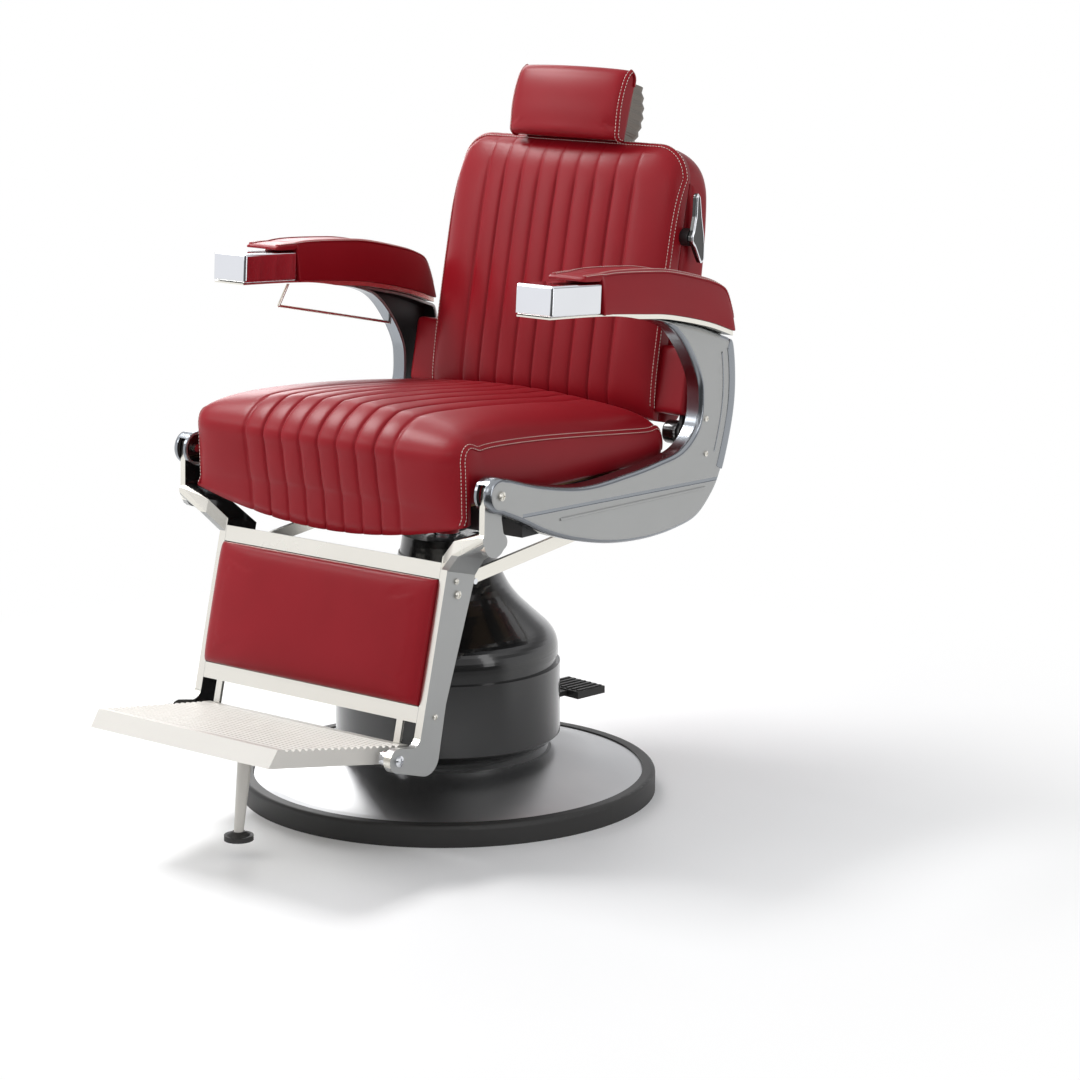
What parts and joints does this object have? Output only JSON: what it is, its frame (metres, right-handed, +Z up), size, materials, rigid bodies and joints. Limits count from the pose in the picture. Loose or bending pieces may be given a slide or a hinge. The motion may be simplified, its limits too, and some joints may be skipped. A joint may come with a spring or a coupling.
{
  "type": "barber chair",
  "caption": "Reclining barber chair on a round electric lift base, with channelled cushions, cast side frames, sliding headrest, linked legrest and fold-up footrest.",
  "frame": {"origin": "on the floor, at the middle of the round base, on the swivel's axis", "axes": "+Z up along the lift, -Y the way the sitter faces, +X the chair's left side"},
  "size_m": [0.684, 0.985, 1.1173],
  "materials": {
    "rim_rubber": "matte",
    "cover_black": "gloss",
    "weight_iron": "rough",
    "dome_steel": "brushed",
    "cast_aluminium": "satin",
    "bright_nickel": "satin",
    "chrome": "polished",
    "red_vinyl": "soft gloss",
    "plywood": "plain",
    "black_steel": "satin",
    "black_board": "matte"
  },
  "bodies": {
    "base": {"base_rim": "rim_rubber", "base_plate": "weight_iron", "base_dome": "dome_steel", "cover_left": "cover_black", "cover_right": "cover_black", "cover_clips": "chrome", "cover_screws": "chrome", "pump_cylinder": "weight_iron", "pump_motor": "black_steel", "oil_tank": "black_steel", "power_inlet": "black_board", "pedal_bracket": "black_steel"},
    "pedal": {"foot_pedal": "rim_rubber"},
    "ram": {"lift_piston": "chrome"},
    "chair_frame": {"ram_spigot": "chrome", "post_socket": "weight_iron", "under_frame": "black_steel", "side_frame_left": "cast_aluminium", "side_frame_right": "cast_aluminium", "frame_screws": "chrome", "frame_pins": "chrome", "seat_board": "plywood", "seat_cushion": "red_vinyl", "seat_bumpers": "red_vinyl", "arm_plate_left": "cast_aluminium", "arm_plate_right": "cast_aluminium", "arm_box_left": "chrome", "arm_box_right": "chrome", "arm_pad_left": "red_vinyl", "arm_pad_right": "red_vinyl", "towel_bar": "chrome"},
    "backrest": {"back_board": "plywood", "back_cushion": "red_vinyl", "back_shell": "red_vinyl", "back_ears": "black_steel", "back_link_bar": "bright_nickel", "lever_boss": "black_board", "headrest_guide": "black_steel"},
    "lever": {"recline_lever": "chrome"},
    "head_stem": {"headrest_stem": "chrome"},
    "headrest": {"headrest_hinge": "chrome", "headrest_pad": "red_vinyl", "headrest_shell": "bright_nickel"},
    "legrest": {"legrest_arm_left": "cast_aluminium", "legrest_arm_right": "cast_aluminium", "legrest_upper_bar": "bright_nickel", "legrest_lower_bar": "bright_nickel", "legrest_screws": "chrome", "legrest_struts": "bright_nickel", "calf_board": "black_board", "calf_pad": "red_vinyl", "link_pins": "chrome", "footrest_bolts": "chrome"},
    "links": {"link_rods": "bright_nickel"},
    "footrest": {"footrest_platform": "bright_nickel", "prop_leg": "bright_nickel", "prop_foot": "rim_rubber"}
  },
  "joints": [
    {"name": "seat_lift", "type": "slide", "parent": "base", "child": "ram", "axis": [0, 0, 1], "range_m": [0, 0.16]},
    {"name": "swivel", "type": "hinge", "parent": "ram", "child": "chair_frame", "pos_m": [0, 0, 0.414], "axis": [0, 0, 1], "continuous": true},
    {"name": "back_recline", "type": "hinge", "parent": "chair_frame", "child": "backrest", "pos_m": [0, 0.245, 0.57], "axis": [-1, 0, 0], "range_deg": [0, 45]},
    {"name": "legrest_swing", "type": "hinge", "parent": "chair_frame", "child": "legrest", "pos_m": [0, -0.254, 0.551], "axis": [-1, 0, 0], "range_deg": [0, 29.75]},
    {"name": "link_swing", "type": "hinge", "parent": "legrest", "child": "links", "pos_m": [0, -0.205, 0.404], "axis": [1, 0, 0], "range_deg": [0, 35.6]},
    {"name": "footrest_flip", "type": "hinge", "parent": "legrest", "child": "footrest", "pos_m": [0, -0.38159, 0.16666], "axis": [-1, 0, 0], "range_deg": [0, 80]},
    {"name": "headrest_height", "type": "slide", "parent": "backrest", "child": "head_stem", "axis": [0, 0.2079, 0.9781], "range_m": [0, 0.09]},
    {"name": "headrest_tilt", "type": "hinge", "parent": "head_stem", "child": "headrest", "pos_m": [0, 0.362, 1.032], "axis": [-1, 0, 0], "range_deg": [0, 30]},
    {"name": "recline_lever", "type": "hinge", "parent": "backrest", "child": "lever", "pos_m": [0.248, 0.312, 0.868], "axis": [-1, 0, 0], "range_deg": [0, 20], "stiffness_Nm_per_rad": 0.6},
    {"name": "foot_pedal", "type": "hinge", "parent": "base", "child": "pedal", "pos_m": [0.02437, 0.19851, 0.112], "axis": [0.9925, -0.1219, 0], "range_deg": [-6, 6], "stiffness_Nm_per_rad": 8}
  ],
  "couplings": [
    {"joint": "legrest_swing", "follows": "back_recline", "ratio": 0.66},
    {"joint": "link_swing", "follows": "back_recline", "ratio": 0.79}
  ]
}
